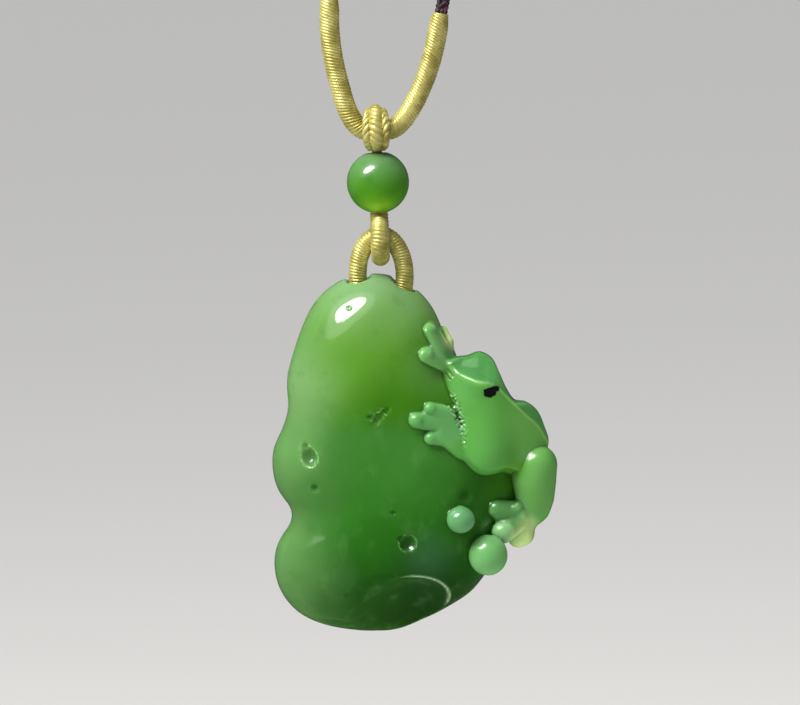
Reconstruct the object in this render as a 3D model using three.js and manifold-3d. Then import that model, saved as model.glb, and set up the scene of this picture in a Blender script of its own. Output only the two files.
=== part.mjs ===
// A carved jade pendant: a gourd-shaped pebble with a frog climbing its side, hung by two thread-wrapped
// rings and a jade bead from a wrapped sleeve on a braided neck cord that closes with a sliding knot.
// Millimetres, +Z up, front towards -Y. The origin is the top of the neck loop.
import * as THREE from "three";
import { ConvexGeometry } from "three/addons/geometries/ConvexGeometry.js";
import { mergeVertices } from "three/addons/utils/BufferGeometryUtils.js";
import Module from "manifold-3d";

const wasm = await Module();
wasm.setup();

// ---------------------------------------------------------------- driving dimensions
const CORD_DIAMETER = 1.6; // braided neck cord
const SLEEVE_DIAMETER = 2.25; // cord with its thread wrap
const SLEEVE_WALL = 0.27;
const SLEEVE_STEPS = 30;
const SLEEVE_SIDES = 10;
const MOUTH_TAPER = 0.18; // how much thinner the sleeve is at its mouths
const MOUTH_STRETCH = 0.05; // share of its length over which it thins
const SLEEVE_ROUTE = [
  [-4.8, -19.9], [-4.9, -23.2], [-4.6, -26.6], [-3.9, -30], [-3.1, -32.7], [-2, -34.3], [-1, -34.75],
  [0, -34.8], [1, -34.75], [2, -34.5], [3.1, -33.5], [4.5, -31.4], [6, -28.1], [7, -24.7], [7.5, -22.2],
]; // x, z of the sleeve's centreline, from its left mouth to its right mouth
const LINK_X = -0.1; // vertical line of bail, bead and rings
const BAIL_TOP = -32.6; // the bail's loop, on the centreline of its middle row
const BAIL_BOTTOM = -36.55;
const BAIL_HALF_DEPTH = 2.15;
const BAIL_ROW_DIAMETER = 1.45;
const BAIL_CORE = 0.8;
const BRAID_TOP = -32.7; // the two braided rows beside it
const BRAID_DIAMETER = 0.9;
const BRAID_OFFSET = 1.25;
const BRAID_GAP = 0.2; // radians left open at the neck
const BRAID_STEPS = 20;
const BEAD_DIAMETER = 7;
const BEAD_HEIGHT = -40.55;
const BEAD_BORE = 2;
const STEM_DIAMETER = 1.2;
const BRIDGE_RADIUS = 0.2; // where the stem meets its loops
const NECK_GAP = 0.32; // radians of each loop left open at its neck
const BAIL_NECK = 0.52; // width of each loop's row at its neck, as a share of its full width
const RING_NECK = 0.46;
const NECK_STRETCH = 0.21; // share of each loop's length over which it thins
const LOOP_STEPS = 24;
const RING_TUBE = 2.1; // wrapped thread rings
const RING_CORE = 1.3;
const UPPER_RING_TOP = -44.65;
const UPPER_RING_BOTTOM = -48.95;
const UPPER_RING_HALF_DEPTH = 2.45;
const LOWER_RING_TOP = -46.55;
const LOWER_RING_BOTTOM = -55.4;
const LOWER_RING_HALF_WIDTH = 2.65;
const RING_SEAM = 0.05; // radians left open where the ring is closed
const ROCK_ANGLE = 12; // how far the stone rocks on the lower ring
const TUNNEL_CLEARANCE = 0.45;
const TUNNEL_HALF_TURN = 0.62 * Math.PI; // how far the tunnel goes up the ring on each side
const BACK_PLANE = 7.1; // small ground flat on the back of the stone
const GROUND_BLOCK = [60, 10, 60]; // what the flat takes off
const CLOSURE_LENGTH = 8;
const CLOSURE_HALF_WIDTH = 2.2;
const CLOSURE_HALF_HEIGHT = 1.35;
const STRAND_STEPS = 34;
const STRAND_SPACING = 2.1; // the two strands side by side in the sliding knot
const TAIL_BEAD_DIAMETER = 3.4;
const TAIL_BEAD_RISE = 1.5; // centre of the bead above its strand's end
const TAIL_KNOT_DIAMETER = 2.6;
const BORE_PLAY = 0.1; // between a strand and the knot it slides through
const CORE_GAP = 0.06; // between a core and the thread wound on it
const FACE_GAP = 0.3; // between two ends that meet

// ---------------------------------------------------------------- materials
function material(color, roughness, metalness = 0) {
  return new THREE.MeshStandardMaterial({ color, roughness, metalness });
}
const jade = () => material(0x4f9a3c, 0.18);
const beadJade = () => material(0x3f8a2c, 0.12);
const goldThread = () => material(0xb8ac5a, 0.45);
const coreThread = () => material(0x9a8f4a, 0.7);
const darkCord = () => material(0x24121c, 0.7);

// ---------------------------------------------------------------- shape helpers
const vector = ([x, y, z]) => new THREE.Vector3(x, y, z);

// A closed geometry as a solid that can be joined and cut.
function solid(geometry) {
  const bare = geometry.index ? geometry.toNonIndexed() : geometry.clone();
  bare.deleteAttribute("normal");
  bare.deleteAttribute("uv");
  const merged = mergeVertices(bare, 1e-4);
  return new wasm.Manifold(new wasm.Mesh({
    numProp: 3,
    vertProperties: new Float32Array(merged.attributes.position.array),
    triVerts: new Uint32Array(merged.index.array),
  }));
}

// A solid's surface as a geometry.
function surface(made) {
  const mesh = made.getMesh();
  const geometry = new THREE.BufferGeometry();
  geometry.setAttribute("position", new THREE.BufferAttribute(mesh.vertProperties, 3));
  geometry.setIndex(new THREE.BufferAttribute(mesh.triVerts, 1));
  const flat = geometry.toNonIndexed();
  flat.computeVertexNormals();
  return flat;
}

const joined = (solids) => solids.reduce((whole, next) => whole.add(next));

function circle(radius, sides) {
  const corner = (_, i) => {
    const turn = (2 * Math.PI * i) / sides;
    return new THREE.Vector2(radius * Math.cos(turn), radius * Math.sin(turn));
  };
  return new THREE.Shape(Array.from({ length: sides }, corner));
}

function curveThrough(points) {
  return new THREE.CatmullRomCurve3(points.map(vector), false, "centripetal");
}

// A round tube along a curve, hollow where it has a hole. widthAt scales it on the way, from 0 to 1.
function tube(curve, radius, steps, sides = 10, widthAt = null, hole = 0) {
  const section = circle(radius, sides);
  if (hole) section.holes.push(circle(hole, sides));
  const options = { steps, bevelEnabled: false, extrudePath: curve };
  const geometry = new THREE.ExtrudeGeometry(section, options);
  if (!widthAt) return geometry;
  const stations = curve.getSpacedPoints(steps);
  const position = geometry.attributes.position;
  const point = new THREE.Vector3();
  for (let i = 0; i < position.count; i++) {
    point.fromBufferAttribute(position, i);
    const distances = stations.map((station) => station.distanceToSquared(point));
    const nearest = distances.indexOf(Math.min(...distances));
    point.sub(stations[nearest]).multiplyScalar(widthAt(nearest / steps)).add(stations[nearest]);
    position.setXYZ(i, point.x, point.y, point.z);
  }
  return geometry;
}

function ball(at, radii, across = 12, down = 8) {
  return new THREE.SphereGeometry(1, across, down).rotateX(Math.PI / 2)
    .scale(...radii).translate(...at);
}

function corners(geometry) {
  const position = geometry.attributes.position;
  const corner = (_, i) => new THREE.Vector3().fromBufferAttribute(position, i);
  return Array.from({ length: position.count }, corner);
}

// A limb: the skin stretched over two balls, each given as a place and a radius.
function limb([from, fromRadius], [to, toRadius]) {
  const ends = [ball(from, Array(3).fill(fromRadius), 8, 5), ball(to, Array(3).fill(toRadius), 8, 5)];
  return solid(new ConvexGeometry(ends.flatMap(corners)));
}

// Limbs end to end through a list of balls.
function chain(balls) {
  return joined(balls.slice(1).map((next, i) => limb(balls[i], next)));
}

// ---------------------------------------------------------------- the carved stone
// The pebble is a smooth blend of these round lobes.
const LOBES = {
  crown: { at: [-1.4, 0, -58], radii: [7.6, 6, 7.2] },
  waist: { at: [-1.6, 0, -63.6], radii: [9.6, 6.8, 9.2] },
  leftKnob: { at: [-6.2, 0, -72.2], radii: [7, 6.2, 7] },
  leftFoot: { at: [-5.2, 0, -83.8], radii: [8.2, 6.6, 7.2] },
  belly: { at: [2.4, 0, -81.2], radii: [8.8, 6.6, 8.4] },
  middle: { at: [-1, 0, -79.4], radii: [8.4, 7.2, 12] },
  rightFlank: { at: [3.4, 0.4, -74], radii: [10.4, 6.4, 14.2] },
  ledge: { at: [12.4, 0.6, -74], radii: [3.4, 3.2, 6] },
};
const LOBE_BLEND = 2.5;
const STONE_CENTRE = [0.5, 0, -72];
const STONE_DETAIL = 8;
const STONE_REACH = 30;

function lobeDistance(point, { at, radii }) {
  const scaled = point.map((value, i) => (value - at[i]) / radii[i]);
  const once = Math.hypot(...scaled);
  const twice = Math.hypot(...scaled.map((value, i) => value / radii[i]));
  return twice === 0 ? -Math.min(...radii) : (once * (once - 1)) / twice;
}

function blend(a, b) {
  const share = Math.min(Math.max(0.5 + (0.5 * (a - b)) / LOBE_BLEND, 0), 1);
  return a * (1 - share) + b * share - LOBE_BLEND * share * (1 - share);
}

// Distance from the pebble's surface, below zero inside it.
function stoneDistance(point) {
  return Object.values(LOBES).map((lobe) => lobeDistance(point, lobe)).reduce(blend);
}

// How far the surface is from a point inside the pebble in one direction.
function reachOf(start, direction) {
  let inside = 0;
  let outside = STONE_REACH;
  for (let halving = 0; halving < 24; halving++) {
    const middle = (inside + outside) / 2;
    const point = start.map((value, i) => value + direction[i] * middle);
    if (stoneDistance(point) < 0) inside = middle;
    else outside = middle;
  }
  return inside;
}

function pebble() {
  const geometry = new THREE.IcosahedronGeometry(1, STONE_DETAIL);
  const position = geometry.attributes.position;
  for (let i = 0; i < position.count; i++) {
    const direction = [position.getX(i), position.getY(i), position.getZ(i)];
    const reach = reachOf(STONE_CENTRE, direction);
    position.setXYZ(i, ...direction.map((value, axis) => STONE_CENTRE[axis] + value * reach));
  }
  return solid(geometry);
}

// A place on the pebble's front, raised off it by lift.
function onFront(x, z, lift) {
  return [x, -reachOf([x, 0, z], [0, -1, 0]) - lift, z];
}

// The frog climbs the right side with its head up and left, and both hands on the pebble's front.
const HEAD_ROUNDING = 0.6;
const HEAD_CORNERS = [
  [6.9, -4, -61.2], [8.9, -3.2, -60.8], [10.5, -2.6, -60.5], [11.9, -2.6, -62.3], [13.8, -2.8, -65.8],
  [7.4, -4.5, -62], [9, -5.3, -62.8], [10.7, -6.1, -63.6], [12, -5.8, -64.2], [13.8, -5.2, -66.2],
  [7.5, -4.2, -64.6], [8.9, -5.1, -67.8], [10.9, -5.8, -68.8], [14.8, -4.5, -68.4],
  [9.5, 0.8, -62.6], [11.6, 0.9, -63.4], [13.3, 1, -66.6], [9.5, 0.6, -67.6],
];
// Limbs are lists of balls, each a place and a radius.
const TORSO = [[[13, -2.6, -67.6], 2.7], [[15.1, -2, -69.4], 2.7], [[14.2, -1.2, -71.6], 2.4]];
const UPPER_ARM = [[[11.2, -3.7, -68.6], 2.3], [[10.95, -4, -70.9], 2.3]];
const HIND_LEG = [
  [[16.4, -2.9, -72.9], 2.25], [[16.3, -2.5, -75], 2.1], [[16.3, -2.3, -76.7], 1.8],
  [[16.15, -2.2, -78], 1.4], [[15.5, -2.2, -79.2], 1],
];
// Hands and drops in front view: x, z and radius of each ball, which sits on the pebble.
const PALM = [7.2, -68.3, 1.3];
const FINGERTIPS = [[4.9, -65.8, 0.75], [3.4, -66.9, 0.8], [4.8, -69, 0.75]];
const UPPER_PALM = [6.9, -60.6, 0.95];
const UPPER_FINGERTIPS = [[5.1, -57.1, 0.75], [4.6, -59.7, 0.8]];
const FAR_FINGER = [[[7.3, -1.4, -60.2], 0.5], [[6.6, -0.4, -57.7], 0.55]];
const ANKLE = [[14.9, -2.5, -78.6], 1.15];
const FRONT_TOE = [12, -77.8, 1.05];
const OUTER_TOES = [[[12.6, -3.6, -80.3], 1.2], [[14.4, -1.9, -81.1], 1.15]];
const SMALL_DROP = [7.85, -78.3, 1.6];
const LARGE_DROP = [11, -82.6, 2.25];
const HAND_LIFT = -0.1; // centres of the hand's balls, off the pebble's surface
const DROP_LIFT = 0.5;

function frontBall([x, z, radius]) {
  return [onFront(x, z, HAND_LIFT), radius];
}

function frog() {
  const rounding = Array(3).fill(HEAD_ROUNDING);
  const skin = HEAD_CORNERS.flatMap((at) => corners(ball(at, rounding, 8, 5)));
  const head = solid(new ConvexGeometry(skin));
  const arm = chain([...UPPER_ARM, frontBall(PALM)]);
  const fingers = FINGERTIPS.map((tip) => limb(frontBall(PALM), frontBall(tip)));
  const upperFingers = UPPER_FINGERTIPS.map((tip) => limb(frontBall(UPPER_PALM), frontBall(tip)));
  const toes = [frontBall(FRONT_TOE), ...OUTER_TOES].map((tip) => limb(ANKLE, tip));
  const trunk = [head, chain(TORSO), arm, chain(HIND_LEG), chain(FAR_FINGER)];
  return joined([...trunk, ...fingers, ...upperFingers, ...toes]);
}

function dewdrops() {
  const drops = [SMALL_DROP, LARGE_DROP].map(([x, z, radius]) => {
    return solid(ball(onFront(x, z, DROP_LIFT), [radius, radius, radius], 12, 9));
  });
  return joined(drops);
}

// Half the lower ring's oval, through the stone, from one mouth to the other.
function ringPoint(turn, middle, halfHeight) {
  return [LINK_X + LOWER_RING_HALF_WIDTH * Math.sin(turn), 0, middle - halfHeight * Math.cos(turn)];
}
const RING_MIDDLE = (LOWER_RING_TOP + LOWER_RING_BOTTOM) / 2;
const RING_HALF_HEIGHT = (LOWER_RING_TOP - LOWER_RING_BOTTOM) / 2;

// The tunnel follows the ring, and is flared front to back so that the stone can rock on it.
function tunnel() {
  const turns = Array.from({ length: 13 }, (_, i) => (i / 6 - 1) * TUNNEL_HALF_TURN);
  const curve = curveThrough(turns.map((turn) => ringPoint(turn, RING_MIDDLE, RING_HALF_HEIGHT)));
  const bore = tube(curve, RING_TUBE / 2 + TUNNEL_CLEARANCE, 10, 8);
  const tilted = [-1, 0, 1].map((share) => {
    const turned = bore.clone().translate(0, 0, -LOWER_RING_BOTTOM);
    turned.rotateX(THREE.MathUtils.degToRad(share * (ROCK_ANGLE + 1)));
    return solid(turned.translate(0, 0, LOWER_RING_BOTTOM));
  });
  return joined(tilted);
}

function carving() {
  const block = new THREE.BoxGeometry(...GROUND_BLOCK)
    .translate(0, BACK_PLANE + GROUND_BLOCK[1] / 2, STONE_CENTRE[2]);
  return joined([pebble(), frog(), dewdrops()]).subtract(solid(block)).subtract(tunnel());
}

// ---------------------------------------------------------------- sleeve, bail, bead and rings
function sleeve() {
  const route = curveThrough(SLEEVE_ROUTE.map(([x, z]) => [x, 0, z]));
  const nearMouth = (along) => Math.max(0, 1 - Math.min(along, 1 - along) / MOUTH_STRETCH);
  const narrowMouth = (along) => 1 - MOUTH_TAPER * nearMouth(along);
  const hole = SLEEVE_DIAMETER / 2 - SLEEVE_WALL;
  return {
    core: tube(route, hole - CORE_GAP, SLEEVE_STEPS, SLEEVE_SIDES, narrowMouth),
    wrap: tube(route, SLEEVE_DIAMETER / 2, SLEEVE_STEPS, SLEEVE_SIDES, narrowMouth, hole),
  };
}

// An oval loop in the YZ plane, open by a short gap at its neck.
function loopCurve(x, neck, far, halfDepth, gap) {
  const middle = (neck + far) / 2;
  const points = Array.from({ length: 21 }, (_, i) => {
    const turn = gap + (i / 20) * (2 * Math.PI - 2 * gap);
    return [x, halfDepth * Math.sin(turn), middle + (neck - middle) * Math.cos(turn)];
  });
  return curveThrough(points);
}

// A wound row is thinner at both ends, where it is pulled into the bead's bore.
const neckTaper = (thinnest, stretch) => (along) => {
  const nearness = Math.max(0, 1 - Math.min(along, 1 - along) / stretch);
  return 1 - (1 - thinnest) * nearness ** 1.5;
};
const bailTaper = neckTaper(BAIL_NECK, NECK_STRETCH);
const ringTaper = neckTaper(RING_NECK, NECK_STRETCH);
const bailCurve = loopCurve(LINK_X, BAIL_BOTTOM, BAIL_TOP, BAIL_HALF_DEPTH, NECK_GAP);
const upperRingCurve = loopCurve(
  LINK_X, UPPER_RING_TOP, UPPER_RING_BOTTOM, UPPER_RING_HALF_DEPTH, NECK_GAP,
);

// One thread bundle: a loop over the sleeve, a stem through the bead and a loop round the lower ring.
function linkCore() {
  const bailRow = solid(tube(bailCurve, BAIL_CORE / 2, LOOP_STEPS, 8, bailTaper));
  const ringRow = solid(tube(upperRingCurve, RING_CORE / 2, LOOP_STEPS, 8, ringTaper));
  const stemRadius = STEM_DIAMETER / 2;
  const stem = new THREE.CylinderGeometry(stemRadius, stemRadius, BAIL_BOTTOM - UPPER_RING_TOP, 10)
    .rotateX(Math.PI / 2).translate(LINK_X, 0, (BAIL_BOTTOM + UPPER_RING_TOP) / 2);
  const bridges = [bailCurve, upperRingCurve].map((curve) => {
    const [start, end] = [0, 1].map((along) => curve.getPoint(along).toArray());
    return limb([start, BRIDGE_RADIUS], [end, BRIDGE_RADIUS]);
  });
  return joined([bailRow, ringRow, solid(stem), ...bridges]);
}

const bailWrap = () => {
  return tube(bailCurve, BAIL_ROW_DIAMETER / 2, LOOP_STEPS, 8, bailTaper, BAIL_CORE / 2 + CORE_GAP);
};
const upperRingWrap = () => {
  return tube(upperRingCurve, RING_TUBE / 2, LOOP_STEPS, 8, ringTaper, RING_CORE / 2 + CORE_GAP);
};

function bailBraid(side) {
  const x = LINK_X + side * BRAID_OFFSET;
  const row = loopCurve(x, BAIL_BOTTOM, BRAID_TOP, BAIL_HALF_DEPTH, BRAID_GAP);
  return tube(row, BRAID_DIAMETER / 2, BRAID_STEPS, 6);
}

function boredBall(diameter, bore, segments, rows) {
  const radius = diameter / 2;
  const mouth = Math.asin(bore / diameter);
  const outer = Array.from({ length: rows + 1 }, (_, i) => {
    const angle = mouth + (i / rows) * (Math.PI - 2 * mouth);
    return new THREE.Vector2(radius * Math.sin(angle), -radius * Math.cos(angle));
  });
  const profile = [...outer, outer[0].clone()];
  return new THREE.LatheGeometry(profile, segments).rotateX(Math.PI / 2);
}

function lowerRing() {
  const turns = Array.from({ length: 25 }, (_, i) => RING_SEAM + (i / 12) * (Math.PI - RING_SEAM));
  const curve = curveThrough(turns.map((turn) => ringPoint(turn, RING_MIDDLE, RING_HALF_HEIGHT)));
  return {
    core: tube(curve, RING_CORE / 2, LOOP_STEPS, 8),
    wrap: tube(curve, RING_TUBE / 2, LOOP_STEPS, 8, null, RING_CORE / 2 + CORE_GAP),
  };
}

// ---------------------------------------------------------------- neck cord and sliding knot
const strandSide = STRAND_SPACING / 2;
const closureHeight = -CLOSURE_HALF_HEIGHT;
const STRAND_LEFT_ROUTE = [
  [-4.8, 0, -19.6], [-4.9, 0, -17], [-5.7, 0, -13.8], [-7.2, -0.1, -10.6], [-8.2, -0.3, -7.6],
  [-8.1, -0.6, -4.8], [-6.9, -0.9, -2.5], [-5, -strandSide, -1.5], [-3, -strandSide, closureHeight],
  [0, -strandSide, closureHeight], [3, -strandSide, closureHeight], [5, -1.2, -1.6], [6.6, -1.7, -2.9],
  [7.2, -2.1, -5], [6.9, -2.3, -7.4], [6.6, -2.3, -10], [6.5, -2.3, -13],
];
const STRAND_RIGHT_ROUTE = [
  [7.6, 0, -21.9], [8.2, 0, -19.4], [8.9, 0, -16], [9.6, 0.1, -12.4], [9.9, 0.3, -8.8],
  [9.4, 0.6, -5.4], [7.9, 0.9, -2.8], [5.6, strandSide, -1.6], [3, strandSide, closureHeight],
  [0, strandSide, closureHeight], [-3, strandSide, closureHeight], [-4.6, 1.2, -1.6], [-5.7, 1.7, -3],
  [-5.9, 2.1, -5], [-5.6, 2.3, -7.2], [-5.4, 2.3, -9.4], [-5.3, 2.3, -12],
];

function strand(route) {
  return tube(curveThrough(route), CORD_DIAMETER / 2, STRAND_STEPS, 8);
}

function closureKnot() {
  const outline = new THREE.Shape();
  outline.absellipse(0, 0, CLOSURE_HALF_HEIGHT, CLOSURE_HALF_WIDTH, 0, 2 * Math.PI);
  const options = { depth: CLOSURE_LENGTH, bevelEnabled: false, curveSegments: 8 };
  const body = new THREE.ExtrudeGeometry(outline, options).rotateY(Math.PI / 2)
    .translate(-CLOSURE_LENGTH / 2, 0, closureHeight);
  const bores = [STRAND_LEFT_ROUTE, STRAND_RIGHT_ROUTE].map((route) => {
    return solid(tube(curveThrough(route), CORD_DIAMETER / 2 + BORE_PLAY, STRAND_STEPS, 8));
  });
  return surface(solid(body).subtract(joined(bores)));
}

// A small bead and a stopper knot on the end of a strand.
function tailPieces(route) {
  const [x, y, end] = route[route.length - 1];
  const bead = boredBall(TAIL_BEAD_DIAMETER, CORD_DIAMETER + FACE_GAP, 12, 6)
    .translate(x, y, end + TAIL_BEAD_RISE);
  const knotRadius = TAIL_KNOT_DIAMETER / 2;
  const knot = ball([x, y, end - FACE_GAP - knotRadius], [knotRadius, knotRadius, knotRadius]);
  return { bead, knot };
}

// ---------------------------------------------------------------- assembly
const pendant = new THREE.Group();
function place(name, geometry, skin, group) {
  const mesh = new THREE.Mesh(geometry, skin);
  mesh.name = name;
  group.add(mesh);
}

const necklace = new THREE.Group();
const sleeveParts = sleeve();
place("sleeve_core", sleeveParts.core, darkCord(), necklace);
place("sleeve_wrap", sleeveParts.wrap, goldThread(), necklace);
place("strand_left", strand(STRAND_LEFT_ROUTE), darkCord(), necklace);
place("strand_right", strand(STRAND_RIGHT_ROUTE), darkCord(), necklace);
place("closure_knot", closureKnot(), darkCord(), necklace);
for (const [side, route] of [["left", STRAND_LEFT_ROUTE], ["right", STRAND_RIGHT_ROUTE]]) {
  const tail = tailPieces(route);
  place(`tail_bead_${side}`, tail.bead, beadJade(), necklace);
  place(`tail_knot_${side}`, tail.knot, darkCord(), necklace);
}

const bail = new THREE.Group();
place("link_core", surface(linkCore()), coreThread(), bail);
place("bail_wrap", bailWrap(), goldThread(), bail);
place("bail_braid_left", bailBraid(-1), goldThread(), bail);
place("bail_braid_right", bailBraid(1), goldThread(), bail);
place("upper_ring_wrap", upperRingWrap(), goldThread(), bail);

const hanging = new THREE.Group();
const bead = boredBall(BEAD_DIAMETER, BEAD_BORE, 24, 12).translate(LINK_X, 0, BEAD_HEIGHT);
place("jade_bead", bead, beadJade(), hanging);
const ring = lowerRing();
place("lower_ring_core", ring.core, coreThread(), hanging);
place("lower_ring_wrap", ring.wrap, goldThread(), hanging);
place("jade_carving", surface(carving()), jade(), hanging);

pendant.add(necklace, bail, hanging);
export default pendant;
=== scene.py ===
"""A carved jade frog pendant on a wrapped and braided neck cord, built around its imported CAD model.

Shapes are worked out in millimetres, in the model's frame: +Z up, front towards -Y, and the origin at the
top of the neck loop. make_piece turns them into metres. The jade's shape is a distance: how far a place is
from the surface, below zero inside the stone. Its parts are blended, cut, and then skinned with a mesh."""
import math

import bmesh
import bpy
import numpy as np
from mathutils import Matrix, Vector


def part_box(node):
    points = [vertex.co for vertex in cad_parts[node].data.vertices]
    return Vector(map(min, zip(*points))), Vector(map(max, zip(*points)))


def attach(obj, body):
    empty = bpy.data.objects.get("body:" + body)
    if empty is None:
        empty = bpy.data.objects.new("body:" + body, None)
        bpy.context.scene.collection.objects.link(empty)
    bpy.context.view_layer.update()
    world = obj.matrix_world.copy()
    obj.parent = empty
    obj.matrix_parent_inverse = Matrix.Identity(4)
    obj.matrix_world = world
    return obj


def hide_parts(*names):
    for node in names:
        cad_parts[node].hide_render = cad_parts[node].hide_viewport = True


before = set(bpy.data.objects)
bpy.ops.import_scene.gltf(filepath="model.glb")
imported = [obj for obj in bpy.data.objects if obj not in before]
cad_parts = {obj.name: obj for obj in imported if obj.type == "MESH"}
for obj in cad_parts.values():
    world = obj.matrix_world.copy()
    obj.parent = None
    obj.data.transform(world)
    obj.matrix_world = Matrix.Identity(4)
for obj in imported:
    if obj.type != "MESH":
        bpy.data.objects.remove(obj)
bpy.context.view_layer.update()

MM = 0.001
TURN = 2 * math.pi
random = np.random.default_rng(7)

# Sizes, as in the part's source
CORD_DIAMETER = 1.6
SLEEVE_DIAMETER = 2.25
SLEEVE_ROUTE = [
    (-4.8, -19.9), (-4.9, -23.2), (-4.6, -26.6), (-3.9, -30), (-3.1, -32.7), (-2, -34.3), (-1, -34.75),
    (0, -34.8), (1, -34.75), (2, -34.5), (3.1, -33.5), (4.5, -31.4), (6, -28.1), (7, -24.7), (7.5, -22.2),
]
STRAND_LEFT_ROUTE = [
    (-4.8, 0, -19.6), (-4.9, 0, -17), (-5.7, 0, -13.8), (-7.2, -0.1, -10.6), (-8.2, -0.3, -7.6),
    (-8.1, -0.6, -4.8), (-6.9, -0.9, -2.5), (-5, -1.05, -1.5), (-3, -1.05, -1.35),
    (0, -1.05, -1.35), (3, -1.05, -1.35), (5, -1.2, -1.6), (6.6, -1.7, -2.9),
    (7.2, -2.1, -5), (6.9, -2.3, -7.4), (6.6, -2.3, -10), (6.5, -2.3, -13),
]
STRAND_RIGHT_ROUTE = [
    (7.6, 0, -21.9), (8.2, 0, -19.4), (8.9, 0, -16), (9.6, 0.1, -12.4), (9.9, 0.3, -8.8),
    (9.4, 0.6, -5.4), (7.9, 0.9, -2.8), (5.6, 1.05, -1.6), (3, 1.05, -1.35),
    (0, 1.05, -1.35), (-3, 1.05, -1.35), (-4.6, 1.2, -1.6), (-5.7, 1.7, -3),
    (-5.9, 2.1, -5), (-5.6, 2.3, -7.2), (-5.4, 2.3, -9.4), (-5.3, 2.3, -12),
]
LINK_X = -0.1
BAIL_TOP, BAIL_BOTTOM, BAIL_HALF_DEPTH = -32.6, -36.55, 2.15
BAIL_ROW_DIAMETER = 1.45
BRAID_TOP = -32.7
BEAD_DIAMETER, BEAD_HEIGHT, BEAD_BORE = 7, -40.55, 2
RING_TUBE = 2.1
UPPER_RING_TOP, UPPER_RING_BOTTOM, UPPER_RING_HALF_DEPTH = -44.65, -48.95, 2.45
LOWER_RING_TOP, LOWER_RING_BOTTOM, LOWER_RING_HALF_WIDTH = -46.55, -55.4, 2.65
NECK_GAP = 0.32
BACK_PLANE = 7.1
ROCK_ANGLE = 12
TAIL_BEAD_DIAMETER, TAIL_BEAD_RISE = 3.4, 1.5
TAIL_KNOT_DIAMETER, TAIL_KNOT_DROP = 2.6, 1.6
CLOSURE_HEIGHT = -1.35


# Camera, floor and light
ROOM_LIGHT, ROOM_REFLECTED, ROOM_SEEN = 0.2, 0.07, 0.78


def add_object(name, data):
    made = bpy.data.objects.new(name, data)
    bpy.context.collection.objects.link(made)
    return made


def stand_camera():
    """In front of the piece, a little above it, and turned slightly on its own axis."""
    target = Vector((1.71, 0, -59.89)) * MM
    distance, seen_width = 0.45, 0.0904
    above, turned = 6, 2
    data = bpy.data.cameras.new("camera")
    data.sensor_width = 36
    data.lens = data.sensor_width * distance / seen_width
    data.clip_start = 0.01
    camera = add_object("camera", data)
    tilt = Matrix.Rotation(math.radians(90 - above), 4, "X")
    roll = Matrix.Rotation(math.radians(-turned), 4, "Z")
    camera.matrix_world = Matrix.Translation(target) @ tilt @ roll @ Matrix.Translation((0, 0, distance))
    bpy.context.scene.camera = camera


def area_light(name, place, aim, size, power, colour):
    data = bpy.data.lights.new(name, "AREA")
    data.shape = "ELLIPSE"
    data.size, data.size_y = size
    data.energy = power
    data.color = colour
    light = add_object(name, data)
    light.location = place
    light.rotation_euler = (Vector(aim) - Vector(place)).to_track_quat("-Z", "Y").to_euler()
    return light


def light_world():
    """A dim room that lights the piece, dimmer in reflections, and pale where it is seen past the floor."""
    world = bpy.data.worlds.new("studio")
    bpy.context.scene.world = world
    world.use_nodes = True
    tree = world.node_tree
    background = tree.nodes["Background"]
    background.inputs["Color"].default_value = (0.95, 0.97, 1, 1)
    rays = tree.nodes.new("ShaderNodeLightPath")
    reflected = tree.nodes.new("ShaderNodeMapRange")
    reflected.inputs["To Min"].default_value = ROOM_LIGHT
    reflected.inputs["To Max"].default_value = ROOM_REFLECTED
    tree.links.new(rays.outputs["Is Glossy Ray"], reflected.inputs["Value"])
    strength = tree.nodes.new("ShaderNodeMapRange")
    strength.inputs["To Max"].default_value = ROOM_SEEN
    tree.links.new(rays.outputs["Is Camera Ray"], strength.inputs["Value"])
    tree.links.new(reflected.outputs["Result"], strength.inputs["To Min"])
    tree.links.new(strength.outputs["Result"], background.inputs["Strength"])


def light_studio():
    """A window-like key light with a wider glow round it, and a soft ceiling."""
    light_world()
    aim = Vector((1, 0, -65)) * MM
    towards_key, away, turned = Vector((-0.474, -0.418, 0.775)), 0.6, -38
    for name, size, power in (("key_light", (0.23, 0.42), 4.2), ("key_glow", (0.5, 0.8), 1.5)):
        key = area_light(name, aim + away * towards_key, aim, size, power, (1, 0.985, 0.96))
        key.rotation_euler.rotate_axis("Z", math.radians(turned))
    data = bpy.data.lights.new("ceiling_light", "SUN")
    data.energy = 1.7
    data.angle = math.radians(70)
    ceiling = add_object("ceiling_light", data)
    ceiling.rotation_euler = (math.radians(-14), math.radians(-10), 0)
    ceiling.visible_glossy = False


def lay_floor():
    half = 20
    corners = [(-half, -half, 0), (half, -half, 0), (half, half, 0), (-half, half, 0)]
    floor = new_object("floor", corners, [(0, 1, 2, 3)])
    floor.location.z = -0.2
    skin = new_material("floor_paint")
    shader = skin.node_tree.nodes["Principled BSDF"]
    shader.inputs["Base Color"].default_value = (0.8, 0.79, 0.77, 1)
    shader.inputs["Roughness"].default_value = 0.75
    floor.data.materials.append(skin)
    floor.visible_glossy = False


# Making pieces
def new_object(name, points, faces):
    mesh = bpy.data.meshes.new(name)
    mesh.from_pydata(points, [], faces)
    return add_object(name, mesh)


def make_piece(name, parts, body, skin, replaces=()):
    """One smooth piece out of (points in mm, faces) parts."""
    points, faces, first = [], [], 0
    for part_points, part_faces in parts:
        points.append(np.asarray(part_points, float) * MM)
        faces.extend([tuple(int(corner) + first for corner in face) for face in part_faces])
        first += len(part_points)
    piece = new_object(name, np.vstack(points).tolist(), faces)
    piece.data.shade_smooth()
    piece.data.materials.append(skin)
    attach(piece, body)
    if replaces:
        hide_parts(*replaces)
    return piece


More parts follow.
